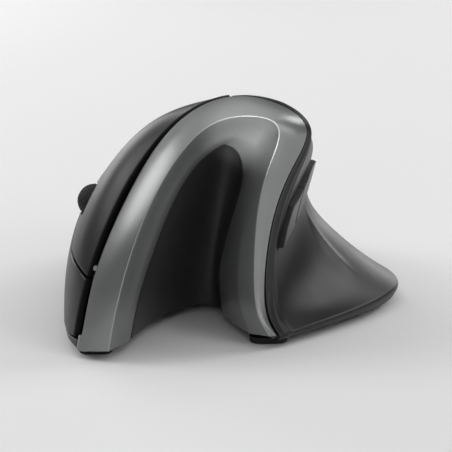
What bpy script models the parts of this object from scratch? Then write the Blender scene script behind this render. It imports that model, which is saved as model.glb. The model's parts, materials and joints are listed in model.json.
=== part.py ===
"""A right-handed vertical computer mouse, wireless, about 88 x 114 x 62 mm.

The whole outer body is one smooth form, a hood of eight hoops from the front rim to the tail. Every outer
shell and button is a stretch of that form: hood(a, b) takes the hoop number a, 0 at the front rim and 7 at the
tail, and the rail number b, 0 at the foot of the finger side and 12 at the lip of the thumb rest.
+X is the thumb side, -Y the front, and the feet stand on z = 0. Lengths here are in millimetres.
"""

import math

import bmesh
import bpy
import numpy as np
from mathutils import Matrix, Vector

MM = 0.001
MIDDLE = Vector((-0.42, -0.445, 0))  # middle of the whole box in plan, which the scene's origin takes
BASE_Z = 2.0  # underside of the body, above the feet
SHELL = 1.8  # wall thickness of the outer shells
BUTTON_REAR = 3.0  # hoop where the finger buttons are hinged
RIDGE = 5.2  # rail along the ridge, where the finger and thumb sides meet
SPLIT_GAP = 0.045  # rails left free between the two finger buttons, and below them
PLUNGER_FREE = 0.45  # from a finger plunger's foot to its switch, at rest
WHEEL_AT = (2.05, 2.3)  # hoop and rail over the middle of the scroll wheel
WHEEL_RADIUS = 12.0
WHEEL_WIDTH = 8.0
WHEEL_DEPTH = 9.2  # the axle's depth below the form
SIDE_BUTTON_PROUD = 1.6
SIDE_PLUNGER_FOOT = 5.4  # above the thumb board, over switches that end at 4.55
BATTERY_RADIUS = 7.1

# Eight hoops of the form, each from the finger foot over the ridge to the lip of the thumb rest.
HOOPS = np.array([
    [(-39.5, -54.5, 2), (-35.9, -53, 16.4), (-30.6, -49.6, 30.5), (-23.6, -44.5, 44), (-15.2, -38.5, 55.6),
     (-3.8, -34.5, 61.8), (8.3, -34, 60.9), (17.4, -36, 54.3), (14, -38, 44.8), (9, -41.2, 32),
     (6.9, -44.5, 16), (8, -46, 7), (10.1, -47, 3.4)],
    [(-42.5, -46, 2), (-41, -45, 16), (-36.6, -42, 31.5), (-29, -37, 46.1), (-18.6, -31, 55.9),
     (-4, -26, 59.6), (9.5, -26, 58.3), (18.5, -28, 51.5), (16.3, -30, 42.5), (12, -34, 29.5),
     (12.5, -37, 15), (17, -38.7, 7.5), (20, -38.5, 4.2)],
    [(-44.5, -28, 2), (-44, -27, 14.5), (-40.2, -25, 29.4), (-32.4, -21, 41.5), (-20.9, -16, 51.3),
     (-4, -12, 55.6), (10.5, -12, 54), (19.5, -14, 47.3), (18.4, -16, 40), (17, -19, 29.5),
     (22.5, -22, 17), (30.5, -23.5, 9), (35.2, -23, 5)],
    [(-44.6, -6, 2), (-44.2, -5, 13.2), (-40.4, -4, 25.6), (-33.4, -1, 36.2), (-22.5, 2, 45.6),
     (-4, 6, 49.6), (11, 6, 47.8), (20.3, 4, 42), (19.6, 0, 36), (19.4, -3, 28.3),
     (26.2, -5, 19.6), (36.5, -6, 10.8), (43.8, -5.5, 5.6)],
    [(-42.5, 16, 2), (-42.3, 16, 12.5), (-38.6, 16.5, 22.5), (-32, 20, 31.5), (-21.5, 23, 38.6),
     (-4, 26, 41), (10, 26, 38.8), (18.8, 23, 34), (19.2, 20, 28.2), (20.6, 18, 21.2),
     (26, 16, 13.6), (34, 15, 8), (38.6, 14.5, 5.4)],
    [(-35.5, 34, 2), (-35, 34.5, 10), (-31, 36, 17.5), (-25.5, 38.5, 23.5), (-17, 41, 28),
     (-5, 43, 29.5), (7, 42.5, 27.5), (15, 40, 24), (18, 37.5, 19.5), (20.2, 35.5, 14.5),
     (23.4, 33.5, 9.6), (27, 32.5, 6.6), (29.5, 32, 5)],
    [(-30.3, 43, 2), (-28.5, 44.5, 6), (-24.8, 47, 10), (-20, 49.5, 13), (-13, 52, 15),
     (-5, 53.2, 15.6), (4, 52.5, 14.6), (11, 50, 12.8), (15, 47.5, 10.6), (18.4, 44.6, 8.2),
     (21.4, 42, 6.4), (23.9, 40.2, 5.2), (25.2, 39.5, 4.6)],
    [(-27.5, 47, 2), (-25.5, 49, 2), (-22, 51.5, 2), (-17.6, 53.8, 2), (-11.8, 55.8, 2),
     (-4.6, 56.8, 2), (2.6, 56.2, 2), (9, 54.4, 2), (13.6, 52, 2), (18, 48.8, 2),
     (21.8, 45.2, 2), (23.7, 42.5, 2), (24.8, 40.6, 2.7)],
])
# Three more lines of the front arch, at the same rails: its sharp crease, the bend inside it, and its inner edge.
CREASE = np.array([
    (-31.6, -57.7, 3), (-29.3, -57.4, 15), (-25.1, -55.3, 29.5), (-19.4, -51, 42.1), (-12.2, -45.9, 52.2),
    (-3.8, -42, 57.6), (5.5, -41, 58.2), (10.3, -41.2, 54.2), (7.6, -42.4, 45.3), (4.9, -44.6, 33),
    (4.3, -47, 16.5), (5.7, -48.2, 8), (8.2, -48, 3.6)])
BEND = np.array([
    (-29.5, -52.8, 2.6), (-27.2, -52, 14.5), (-23.2, -50, 27.4), (-17.9, -46.4, 39.4), (-11.4, -41.6, 48.6),
    (-4.6, -38.2, 53.2), (2.6, -37.4, 54), (6.6, -37.6, 50.6), (4.3, -38.6, 43.4), (1.5, -40.5, 32.2),
    (0.1, -42.2, 16.5), (1.3, -42.8, 8), (3.3, -43.4, 2.8)])
INNER = np.array([
    (-26.8, -46.5, 2.4), (-24.3, -45.6, 14), (-20.6, -43.8, 25.2), (-15.8, -41, 36.7), (-10.1, -37, 45.1),
    (-5, -33.8, 48.8), (-2.2, -32.8, 49.2), (0.6, -31.8, 46.2), (1.4, -30.6, 40.5), (-0.8, -29.2, 31),
    (-4.2, -26.4, 16.5), (-4.4, -24.6, 8), (-3.9, -24, 2)])
SCOOP_FOOT = (-8.0, -17.0)  # plan position of the scoop's deepest line at the base
SCOOP_TOP = (-2.6, -30.5, 48.6)  # where that line meets the arch

COLLECTION = bpy.data.collections.new("vertical_mouse")
CUTTERS = bpy.data.collections.new("cutters")


# ---- the form -------------------------------------------------------------------------------------------

def chord_knots(net, axis):
    """Spline parameters for the net's lines, spaced by the square root of their mean distance."""
    steps = np.sqrt(np.linalg.norm(np.diff(net, axis=axis), axis=2).mean(axis=1 - axis))
    knots = np.concatenate([[0], np.cumsum(steps)])
    return knots * (len(knots) - 1) / knots[-1]


def spline_weights(knots, index):
    """Weights of each knot's value in a natural cubic spline, at these fractional line numbers."""
    count = len(knots)
    span = np.diff(knots)
    left, right = np.eye(count), np.zeros((count, count))
    for i in range(1, count - 1):
        left[i, i - 1:i + 2] = span[i - 1], 2 * (span[i - 1] + span[i]), span[i]
        right[i, i - 1:i + 2] = 6 / span[i - 1], -6 / span[i - 1] - 6 / span[i], 6 / span[i]
    bends = np.linalg.solve(left, right)
    rows = []
    for at in np.interp(np.atleast_1d(index), np.arange(count), knots):
        i = int(np.clip(np.searchsorted(knots, at) - 1, 0, count - 2))
        p = (knots[i + 1] - at) / span[i]
        q = 1 - p
        row = ((p**3 - p) * bends[i] + (q**3 - q) * bends[i + 1]) * span[i] ** 2 / 6
        row[i] += p
        row[i + 1] += q
        rows.append(row)
    return np.array(rows)


HOOP_KNOTS = chord_knots(HOOPS, 0)
RAIL_KNOTS = chord_knots(HOOPS, 1)


def hood(a, b):
    """One point of the form."""
    return (spline_weights(HOOP_KNOTS, a) @ np.einsum("kj,ijc->ikc", spline_weights(RAIL_KNOTS, b), HOOPS)[:, 0])[0]


def line(curve, b):
    """One point of a line of the arch."""
    return (spline_weights(RAIL_KNOTS, b) @ curve)[0]


def unit(vector):
    return np.asarray(vector, float) / np.linalg.norm(vector)


def frame(a, b, reach=0.02):
    """Point, outward normal, direction to the rear and direction over the ridge."""
    rearward = hood(a + reach, b) - hood(a - reach, b)
    upward = hood(a, b + reach) - hood(a, b - reach)
    return hood(a, b), unit(np.cross(upward, rearward)), unit(rearward), unit(upward)


def raised(a, b, height):
    """A point at this height above the form, or below it if negative."""
    point, normal, _, _ = frame(a, b)
    return point + normal * height


# ---- making objects ---------------------------------------------------------------------------------------

def material(name, colour, roughness, metallic=0.0):
    made = bpy.data.materials.new(name)
    made.use_nodes = True
    shader = made.node_tree.nodes["Principled BSDF"]
    shader.inputs["Base Color"].default_value = (*colour, 1)
    shader.inputs["Roughness"].default_value = roughness
    shader.inputs["Metallic"].default_value = metallic
    return made


def add(name, mesh, finish, pivot=(0, 0, 0)):
    """An object of this mesh, which is in world millimetres, with its origin at the pivot."""
    mesh.transform(Matrix.Scale(MM, 4) @ Matrix.Translation(-Vector(pivot)))
    made = bpy.data.objects.new(name, mesh)
    made.location = (Vector(pivot) - MIDDLE) * MM
    (COLLECTION if finish else CUTTERS).objects.link(made)
    if finish:
        mesh.materials.append(finish)
    else:
        made.hide_render = True
        made.display_type = "WIRE"
    return made


def from_bmesh(name, bm, finish, pivot=(0, 0, 0), smooth=True):
    bmesh.ops.recalc_face_normals(bm, faces=bm.faces)
    mesh = bpy.data.meshes.new(name)
    bm.to_mesh(mesh)
    bm.free()
    if smooth:
        mesh.shade_smooth()
        mesh.set_sharp_from_angle(angle=math.radians(35))
    return add(name, mesh, finish, pivot)


def axes(along, across=(0, 0, 1)):
    """A rotation whose local z is along and whose local x is near across."""
    z = Vector(along).normalized()
    x = (Vector(across) - Vector(across).dot(z) * z).normalized()
    return Matrix((x, z.cross(x), z)).transposed().to_4x4()


UPRIGHT = axes((0, 0, 1), (1, 0, 0))


def box(name, size, centre, finish, turn=UPRIGHT, bevel=0.3, pivot=(0, 0, 0)):
    bm = bmesh.new()
    bmesh.ops.create_cube(bm, size=1)
    bmesh.ops.scale(bm, vec=size, verts=bm.verts)
    if bevel:
        bmesh.ops.bevel(bm, geom=bm.edges[:], offset=bevel, segments=1, profile=0.5, affect="EDGES")
    bmesh.ops.transform(bm, matrix=Matrix.Translation(centre) @ turn, verts=bm.verts)
    return from_bmesh(name, bm, finish, pivot)


def rod(name, radius, length, centre, finish, turn=UPRIGHT, pivot=(0, 0, 0), sides=24):
    bm = bmesh.new()
    bmesh.ops.create_cone(bm, cap_ends=True, segments=sides, radius1=radius, radius2=radius, depth=length)
    bmesh.ops.transform(bm, matrix=Matrix.Translation(centre) @ turn, verts=bm.verts)
    return from_bmesh(name, bm, finish, pivot)


def turned(name, profile, centre, finish, turn=UPRIGHT, pivot=(0, 0, 0), steps=32):
    """A profile of (radius, height) points, outer side first from the top down, spun about local z."""
    bm = bmesh.new()
    rim = [bm.verts.new((r, 0, h)) for r, h in profile]
    closed = min(r for r, _ in profile) > 0
    for i in range(len(rim) - (not closed)):
        bm.edges.new((rim[i], rim[(i + 1) % len(rim)]))
    bmesh.ops.spin(bm, geom=bm.verts[:] + bm.edges[:], axis=(0, 0, 1), cent=(0, 0, 0), steps=steps,
                   angle=math.tau, use_merge=True)
    bmesh.ops.remove_doubles(bm, verts=bm.verts, dist=1e-4)
    bmesh.ops.transform(bm, matrix=Matrix.Translation(centre) @ turn, verts=bm.verts)
    return from_bmesh(name, bm, finish, pivot)


def prism(name, outline, low, high, finish, turn=UPRIGHT, centre=(0, 0, 0), pivot=(0, 0, 0), bevel=0.0):
    """A flat outline raised from low to high along local z."""
    bm = bmesh.new()
    face = bm.faces.new([bm.verts.new((x, y, low)) for x, y in outline])
    raised_side = bmesh.ops.extrude_face_region(bm, geom=[face])["geom"]
    bmesh.ops.translate(bm, vec=(0, 0, high - low),
                        verts=[v for v in raised_side if isinstance(v, bmesh.types.BMVert)])
    if bevel:
        bmesh.ops.bevel(bm, geom=bm.edges[:], offset=bevel, segments=2, profile=0.5, affect="EDGES")
    bmesh.ops.transform(bm, matrix=Matrix.Translation(centre) @ turn, verts=bm.verts)
    return from_bmesh(name, bm, finish, pivot, smooth=bool(bevel))


def skin(name, rows, thickness, finish, pivot=(0, 0, 0)):
    """A shell whose outer face passes through these rows of points, with its wall on the inner side."""
    count = len(rows[0])
    faces = [(i * count + j, i * count + j + 1, (i + 1) * count + j + 1, (i + 1) * count + j)
             for i in range(len(rows) - 1) for j in range(count - 1)]
    mesh = bpy.data.meshes.new(name)
    mesh.from_pydata([tuple(p) for row in rows for p in row], [], faces)
    mesh.update()
    mesh.shade_smooth()
    made = add(name, mesh, finish, pivot)
    wall = made.modifiers.new("wall", "SOLIDIFY")
    wall.thickness = thickness * MM
    wall.offset = -1
    return made


def loft(name, sections, finish):
    """A solid through closed sections of equal count, with flat ends."""
    bm = bmesh.new()
    rings = [[bm.verts.new(p) for p in section] for section in sections]
    for ring, after in zip(rings, rings[1:]):
        for i in range(len(ring)):
            j = (i + 1) % len(ring)
            bm.faces.new((ring[i], ring[j], after[j], after[i]))
    bm.faces.new(rings[0])
    bm.faces.new(rings[-1])
    return from_bmesh(name, bm, finish)


def cut(target, cutter):
    carve = target.modifiers.new("cut_" + cutter.name, "BOOLEAN")
    carve.object = cutter
    carve.operation = "DIFFERENCE"
    carve.solver = "EXACT"


def rectangle(wide, deep, centre=(0, 0)):
    x, y = centre
    return [(x - wide / 2, y - deep / 2), (x + wide / 2, y - deep / 2),
            (x + wide / 2, y + deep / 2), (x - wide / 2, y + deep / 2)]


# ---- outer shells -----------------------------------------------------------------------------------------

def trim_rear(b):
    """Hoop number of the arch trim's rear edge, which widens beside the groove."""
    return 0.12 * np.clip((5.0 - b) / 1.6, 0, 1) * np.clip((b - 0.4) / 0.8, 0, 1)


def groove(b):
    """Hoop number of the finger buttons' front edge: a groove that closes at the ridge."""
    return np.interp(b, [0, 2.8, 5.0], [0.42, 0.3, 0.05])


def rail_top(a):
    """Rail of the top of the low side rail, under the finger buttons."""
    return 0.17 - 0.05 * np.clip(a, 0, 1.6)


def button_split(a):
    """Rail of the split between the finger buttons: low at the front, rising to the wheel from below."""
    t = np.clip((a - 1.5) / 0.8, 0, 1)
    return 1.12 + 0.2 * a + (WHEEL_AT[1] - 1.12 - 0.2 * a) * t * t * (3 - 2 * t)


def above_split(a):
    """Rail of the upper button's lower edge, which keeps its distance where the split climbs."""
    climb = (button_split(a + 0.02) - button_split(a - 0.02)) / 0.04
    return button_split(a) + SPLIT_GAP * math.hypot(1, climb)


def patch(front, rear, low, high, height=0.0, along=16, across=14):
    """Rows of points between two hoops and two rails, any of which may vary along the patch."""
    rows = []
    for s in np.linspace(0, 1, along):
        row = []
        for t in np.linspace(0, 1, across):
            a = front + (rear - front) * s
            b = low(a) + (high(a) - low(a)) * t if callable(low) or callable(high) else low + (high - low) * t
            row.append(raised(a, b, height))
        rows.append(row)
    return rows


def side_rail(finish):
    rows = patch(0.2, 6.35, lambda a: 0.03, rail_top, along=26, across=3)
    return skin("finger_side_rail", rows, SHELL, finish)


def finger_button(name, low, high, pivot, finish):
    """A finger button: its front edge follows the groove, its rear edge is the hinge line."""
    rows = []
    for s in np.linspace(0, 1, 17):
        row = []
        for t in np.linspace(0, 1, 13):
            nominal = BUTTON_REAR * s
            b = low(nominal) + (high(nominal) - low(nominal)) * t
            a = groove(b) + (BUTTON_REAR - 0.02 - groove(b)) * s
            b = low(a) + (high(a) - low(a)) * t
            row.append(raised(a, b, 0.4))
        rows.append(row)
    return skin(name, rows, SHELL, finish, pivot)


def palm_shell(finish):
    rows = patch(BUTTON_REAR + 0.02, 7, lambda a: rail_top(a) + 0.03 + 0.08 * (a / 7) ** 4, lambda a: RIDGE - 0.02,
                 along=20, across=16)
    return skin("palm_shell", rows, SHELL, finish)


FULL_LIP = 2.6  # height above the base at which the lip has its full roll


def lip_skirt(a):
    """The last two points below the lip of the thumb rest: the rolled lip and the foot of the skirt."""
    lip = hood(a, 12)
    ahead = unit((hood(min(a + 0.05, 7), 12) - hood(max(a - 0.05, 0), 12)) * (1, 1, 0))
    outward = np.array((ahead[1], -ahead[0], 0))
    drop = lip[2] - BASE_Z
    fold = outward * min(drop / FULL_LIP, 1)
    return lip + fold * 0.5 - (0, 0, drop * 0.35), lip - fold * 0.9 - (0, 0, drop)


def thumb_shell(finish):
    """The shell of the thumb side, with a bead beside the arch trim."""
    rows = []
    for a in [0.05, 0.16, 0.27, 0.38, 0.5, 0.65, 0.85, *np.linspace(1.1, 6, 16), 6.35, 6.7, 7]:
        row = []
        for b in [RIDGE + 0.02, *np.linspace(5.6, 12, 19)]:
            middle = np.interp(b, [RIDGE, 7.8, 9.0, 10.1, 11.1], [0.14, 0.32, 0.42, 0.38, 0.25])
            rise = 0.8 * math.exp(-((a - middle) / 0.12) ** 2) * np.clip(b - 5.2, 0, 1)
            row.append(raised(a, b, rise))
        rows.append(row + list(lip_skirt(a)))
    return skin("thumb_shell", rows, SHELL, finish)


def arch_section(b):
    """Closed section of the front arch at one rail: its three outer faces, then its inner side."""
    rear = trim_rear(b)
    rim, crease, bend, inner = hood(rear, b), line(CREASE, b), line(BEND, b), line(INNER, b)
    ahead = 0.03 if b < 11.9 else -0.03
    forward = math.copysign(1, ahead)

    def inward(point, other, here, there):
        across = other - point
        along = (there - here) * forward
        return unit(np.cross(along, across))

    rim_in = inward(rim, crease, rim, hood(rear, b + ahead))
    face_in = inward(crease, inner, crease, line(CREASE, b + ahead))
    body = unit((rim + inner) / 2 - crease)
    if np.dot(rim_in, body) < 0:
        rim_in = -rim_in
    if np.dot(face_in, body) < 0:
        face_in = -face_in
    _, normal, _, _ = frame(rear + 0.02, b)
    crown = (rim + crease) / 2 - rim_in * 0.35
    swell = (bend + inner) / 2 - face_in * 0.5
    return [rim, crown, crease, bend, swell, inner,
            inner + unit(rim - inner) * 1.9, swell + face_in * 2.0, bend + face_in * 2.1,
            crease + body * 2.6, rim - normal * 2.0]


def arch_trim(finish):
    return loft("front_arch_trim", [arch_section(b) for b in np.linspace(0, 12, 61)], finish)


def scoop_point(b, s):
    """The scoop inside the arch: from its inner edge at s = 0 to the deepest line at s = 1, at equal height."""
    edge = line(INNER, b)
    share = np.clip((edge[2] - BASE_Z) / (SCOOP_TOP[2] - BASE_Z), 0, 1)
    depth = 1 - math.sqrt(1 - 0.999 * share**2)
    deep = np.array((SCOOP_FOOT[0] + (SCOOP_TOP[0] - SCOOP_FOOT[0]) * share,
                     SCOOP_FOOT[1] + (SCOOP_TOP[1] - SCOOP_FOOT[1]) * depth,
                     min(edge[2], SCOOP_TOP[2])))
    side = np.array((edge[0] + (deep[0] - edge[0]) * (0.48 if edge[0] < deep[0] else 0.0), deep[1], deep[2]))
    return (1 - s) ** 2 * edge + 2 * s * (1 - s) * side + s * s * deep


def scoop_liner(finish):
    """Its left and right walls are one sheet, joined along the deepest line."""
    left, right = np.linspace(0, 5.35, 15), np.linspace(12, 5.8, 15)
    reach = np.linspace(0, 1, 8)
    rows = []
    for bl, br in zip(left, right):
        clear = 0.35 / max(1.0, np.linalg.norm(scoop_point(bl, 0.1) - scoop_point(bl, 0)) * 10)
        near_l = [scoop_point(bl, clear + (1 - clear) * s) for s in reach]
        clear = 0.35 / max(1.0, np.linalg.norm(scoop_point(br, 0.1) - scoop_point(br, 0)) * 10)
        near_r = [scoop_point(br, clear + (1 - clear) * s) for s in reach]
        middle = (near_l[-1] + near_r[-1]) / 2
        rows.append(near_l[:-1] + [middle] + near_r[-2::-1])
    return skin("scoop_liner", rows, 1.6, finish)


# ---- side buttons -----------------------------------------------------------------------------------------

def strip_point(s, side, height, margin=0.0, end=0.0):
    """A point of the side button strip: s runs to the rear, side from -1 below to 1 above."""
    along = s + end
    middle = 9.0 - 0.54 * (along - 1.0)
    half = 0.34 - 0.03 * (along - 1.0) + margin
    b = middle - half * side
    return raised(along - 0.4 * (b - middle), b, height)


def strip_rows(front, rear, height, margin=0.0, along=7, across=5):
    return [[strip_point(s, side, height, margin) for side in np.linspace(1, -1, across)]
            for s in np.linspace(front, rear, along)]


def strip_frame(s):
    """Middle of the strip, its outward normal and its direction to the rear."""
    normal = unit(np.cross(strip_point(s, -1, 0) - strip_point(s, 1, 0),
                           strip_point(s + 0.05, 0, 0) - strip_point(s - 0.05, 0, 0)))
    return strip_point(s, 0, 0), normal, unit(strip_point(s + 0.05, 0, 0) - strip_point(s - 0.05, 0, 0))


SIDE_BUTTONS = {"forward": (0.9, 1.42), "back": (1.46, 2.85)}
THUMB_BOARD_DEPTH = 9.6


def side_buttons(shell, finish, dark, green):
    """Forward and back buttons, the opening they share, and the board with their two switches."""
    opening = skin("side_button_opening", strip_rows(0.86, 2.9, 3.5, 0.045, along=12), 9.0, None)
    cut(shell, opening)
    middle, out, rear = strip_frame(1.84)
    board_centre = middle - out * (THUMB_BOARD_DEPTH + 0.6)
    turn = axes(out, rear)
    box("thumb_board", (30.6, 8.6, 1.2), board_centre, green, turn, bevel=0)
    for name, (front, end) in SIDE_BUTTONS.items():
        centre, normal, _ = strip_frame((front + end) / 2)
        skin(name + "_button", strip_rows(front, end, SIDE_BUTTON_PROUD), 2.4, finish, centre)
        rest = board_centre + turn.to_3x3() @ Vector((np.dot(centre - board_centre, rear), 0, 0))
        box(name + "_switch", (6, 6, 3.6), Vector(rest) + Vector(out) * 2.75, dark, turn)
        top, foot = centre - normal * 1.5, Vector(rest) + Vector(out) * SIDE_PLUNGER_FOOT
        post = Vector(top) - foot
        rod(name + "_plunger", 1.3, post.length, (Vector(top) + foot) / 2, finish, axes(post), centre, sides=16)


# ---- scroll wheel and finger board ------------------------------------------------------------------------

WHEEL_TOP, WHEEL_OUT, WHEEL_REAR, WHEEL_UP = frame(*WHEEL_AT)
WHEEL_CENTRE = WHEEL_TOP - WHEEL_OUT * WHEEL_DEPTH
FLAT = axes(WHEEL_OUT, WHEEL_REAR)  # local x to the rear, z outward: the finger board's own directions
SPIN = axes(WHEEL_UP, WHEEL_REAR)  # local z along the axle
BOARD_DEPTH = 13.5
SWITCH_TOP_DEPTH = 10.0
PLUNGERS = {"upper": (1.75, 3.35), "lower": (1.9, 1.42), "resolution": (3.45, 2.75)}


def board_place(rearward, upward, depth):
    """A point given along the finger board's directions, from the form's surface over the wheel."""
    return WHEEL_TOP + WHEEL_REAR * rearward + WHEEL_UP * upward - WHEEL_OUT * depth


def on_board(point):
    """How far a point lies to the rear, upward and deep, along the finger board's directions."""
    away = np.asarray(point) - WHEEL_TOP
    return np.dot(away, WHEEL_REAR), np.dot(away, WHEEL_UP), -np.dot(away, WHEEL_OUT)


def scroll_wheel(rubber, plastic, steel, frame_finish):
    pivot = tuple(WHEEL_CENTRE)
    half = WHEEL_WIDTH / 2
    side = [(WHEEL_RADIUS - 2.4, half), (WHEEL_RADIUS - 1.2, half - 1), (WHEEL_RADIUS - 0.4, half - 2),
            (WHEEL_RADIUS - 0.1, half - 3)]
    tread = side + [(r, -h) for r, h in reversed(side)] + [(9.3, -half), (9.3, half)]
    turned("wheel_tread", tread, pivot, rubber, SPIN, pivot, steps=40)
    turned("wheel_hub", [(9, 3.2), (9, -3.2), (1.4, -3.2), (1.4, 3.2)], pivot, plastic, SPIN, pivot, steps=40)
    rod("wheel_axle", 1.0, 13.6, pivot, steel, SPIN, pivot)
    arms = [(-2.6, 5), (-2.6, 6.4), (15.6, 6.4), (15.6, -6.4), (-2.6, -6.4), (-2.6, -5), (13.2, -5), (13.2, 5)]
    cradle = prism("wheel_cradle", arms, -2.2, 3, frame_finish, FLAT, pivot, pivot)
    cut(cradle, rod("cradle_holes", 1.3, 30, pivot, None, SPIN))


def finger_parts(buttons, palm, dark, black, green, gold):
    """The frame under the finger buttons, and the board that carries the encoder and the switches."""
    slot = box("wheel_slot", (21, 9.2, 44), WHEEL_TOP, None, FLAT, bevel=1.5)
    for button in buttons:
        cut(button, slot)
    rows = patch(0.3, 2.9, 0.7, 5.0, height=-3.6, along=12, across=10)
    carrier = skin("button_frame", rows, 1.4, dark)
    cut(carrier, box("cradle_window", (36, 15, 40), board_place(1.5, 0, 0), None, FLAT, bevel=0))
    outline = [(-19, -17), (14, -17), (14, -8), (36, -8), (36, 10), (14, 10), (14, 16), (-19, 16)]
    board = prism("finger_board", outline, -0.6, 0.6, green, FLAT, board_place(0, 0, BOARD_DEPTH + 0.6))
    cut(board, box("board_notch", (25.5, 9.6, 44), WHEEL_TOP, None, FLAT, bevel=0))
    box("wheel_encoder", (9, 3.2, 5.8), board_place(0, 9.0, 10.0), dark, FLAT)
    box("wheel_switch", (4.4, 6, 1.2), board_place(14.6, 0, BOARD_DEPTH - 0.9), dark, FLAT, bevel=0.2)
    for name, spot in PLUNGERS.items():
        rearward, upward, depth = on_board(raised(*spot, -2.5))
        body = (12.8, 5.8, BOARD_DEPTH - 0.3 - SWITCH_TOP_DEPTH) if name != "resolution" else (6, 6, 3.6)
        top = BOARD_DEPTH - 0.3 - body[2]
        box(name + "_switch", body, board_place(rearward, upward, top + body[2] / 2), black, FLAT)
        length = top - PLUNGER_FREE - depth
        pivot = tuple(BUTTON_HINGES[name][0]) if name in BUTTON_HINGES else tuple(frame(*spot)[0])
        rod(name + "_plunger", 1.5, length, board_place(rearward, upward, depth + length / 2), black, FLAT, pivot,
            sides=16)
        if name != "resolution":
            cut(carrier, rod(name + "_window", 2.6, 20, board_place(rearward, upward, depth), None, FLAT, sides=16))
    spot = PLUNGERS["resolution"]
    point, normal, rear, _ = frame(*spot)
    turn = axes(normal, rear)
    box("resolution_button", (9.2, 4.4, 2.6), point - normal * 0.4, black, turn, bevel=0.6, pivot=tuple(point))
    cut(palm, box("resolution_opening", (10, 5.2, 12), point, None, turn, bevel=0.8))
    pin, out, _, _ = frame(0.22, 1.4)
    rod("light_pin", 0.7, 3.0, pin - out * 1.9, gold, axes(out), sides=16)


BUTTON_HINGES = {
    "upper": (raised(BUTTON_REAR, 2.7, -1), raised(BUTTON_REAR, 4.9, -1)),
    "lower": (raised(BUTTON_REAR, 0.6, -1), raised(BUTTON_REAR, 2.2, -1)),
}


# ---- base -------------------------------------------------------------------------------------------------

FOOT_PLACES = {
    "front_left_foot": ((-35.4, -44.8), (8.4, 14)),
    "front_right_foot": ((8.0, -36.9), (9.6, 13.4)),
    "thumb_foot": ((33.0, -10.0), (6, 11)),
    "rear_left_foot": ((-18.5, 46.0), (10, 5.4)),
    "rear_right_foot": ((15.8, 40.0), (6, 10)),
}
SCREW_PLACES = [(-36, -14), (26, -13.5), (-27.5, 36), (18.2, 27.6)]
SENSOR_AT = (-22.0, 8.0)
POWER_AT = (-30.0, -24.0)
RECEIVER_AT = (-15.0, 37.0)
BATTERY_AT = (2.0, 11.7)  # x and z of its axis
BATTERY_ENDS = (-7.6, 42.0)
DOOR_X, DOOR_Y = (-6.1, 10.1), (-11.0, 44.4)
DOOR_LOW = BASE_Z + 0.05
PLATE_TOP = BASE_Z + 2.0


def base_outline(inset):
    """Foot of the outer shells all round, in plan, moved inwards."""
    finger = [hood(a, 0)[:2] for a in np.linspace(0.2, 6.6, 12)]
    tail = [hood(7, b)[:2] for b in np.linspace(0.5, 9.2, 8)]
    thumb = [lip_skirt(a)[1][:2] for a in np.linspace(5.9, 0.35, 13)]
    right = [line(CREASE, 12)[:2], line(BEND, 12)[:2], line(INNER, 12)[:2]]
    scoop = [scoop_point(12, s)[:2] for s in np.linspace(0.2, 1, 5)]
    scoop += [scoop_point(0, s)[:2] for s in np.linspace(0.8, 0.2, 4)]
    left = [line(INNER, 0)[:2], line(BEND, 0)[:2], line(CREASE, 0)[:2], hood(0, 0)[:2]]
    loop = finger + tail + thumb + right + scoop + left
    moved = []
    for before, here, after in zip(loop[-1:] + loop[:-1], loop, loop[1:] + loop[:1]):
        first, second = unit(here - before), unit(after - here)
        first, second = np.array((first[1], -first[0])), np.array((second[1], -second[0]))
        moved.append(here + (first + second) / (1 + np.dot(first, second)) * inset)
    return moved


def rounded(wide, deep, radius, corner_steps=4):
    """A rectangle with round corners, about its middle."""
    points = []
    for turn, (sx, sy) in enumerate([(1, 1), (-1, 1), (-1, -1), (1, -1)]):
        for step in range(corner_steps + 1):
            angle = math.pi / 2 * (turn + step / corner_steps)
            points.append((sx * (wide / 2 - radius) + radius * math.cos(angle),
                           sy * (deep / 2 - radius) + radius * math.sin(angle)))
    return points


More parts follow.
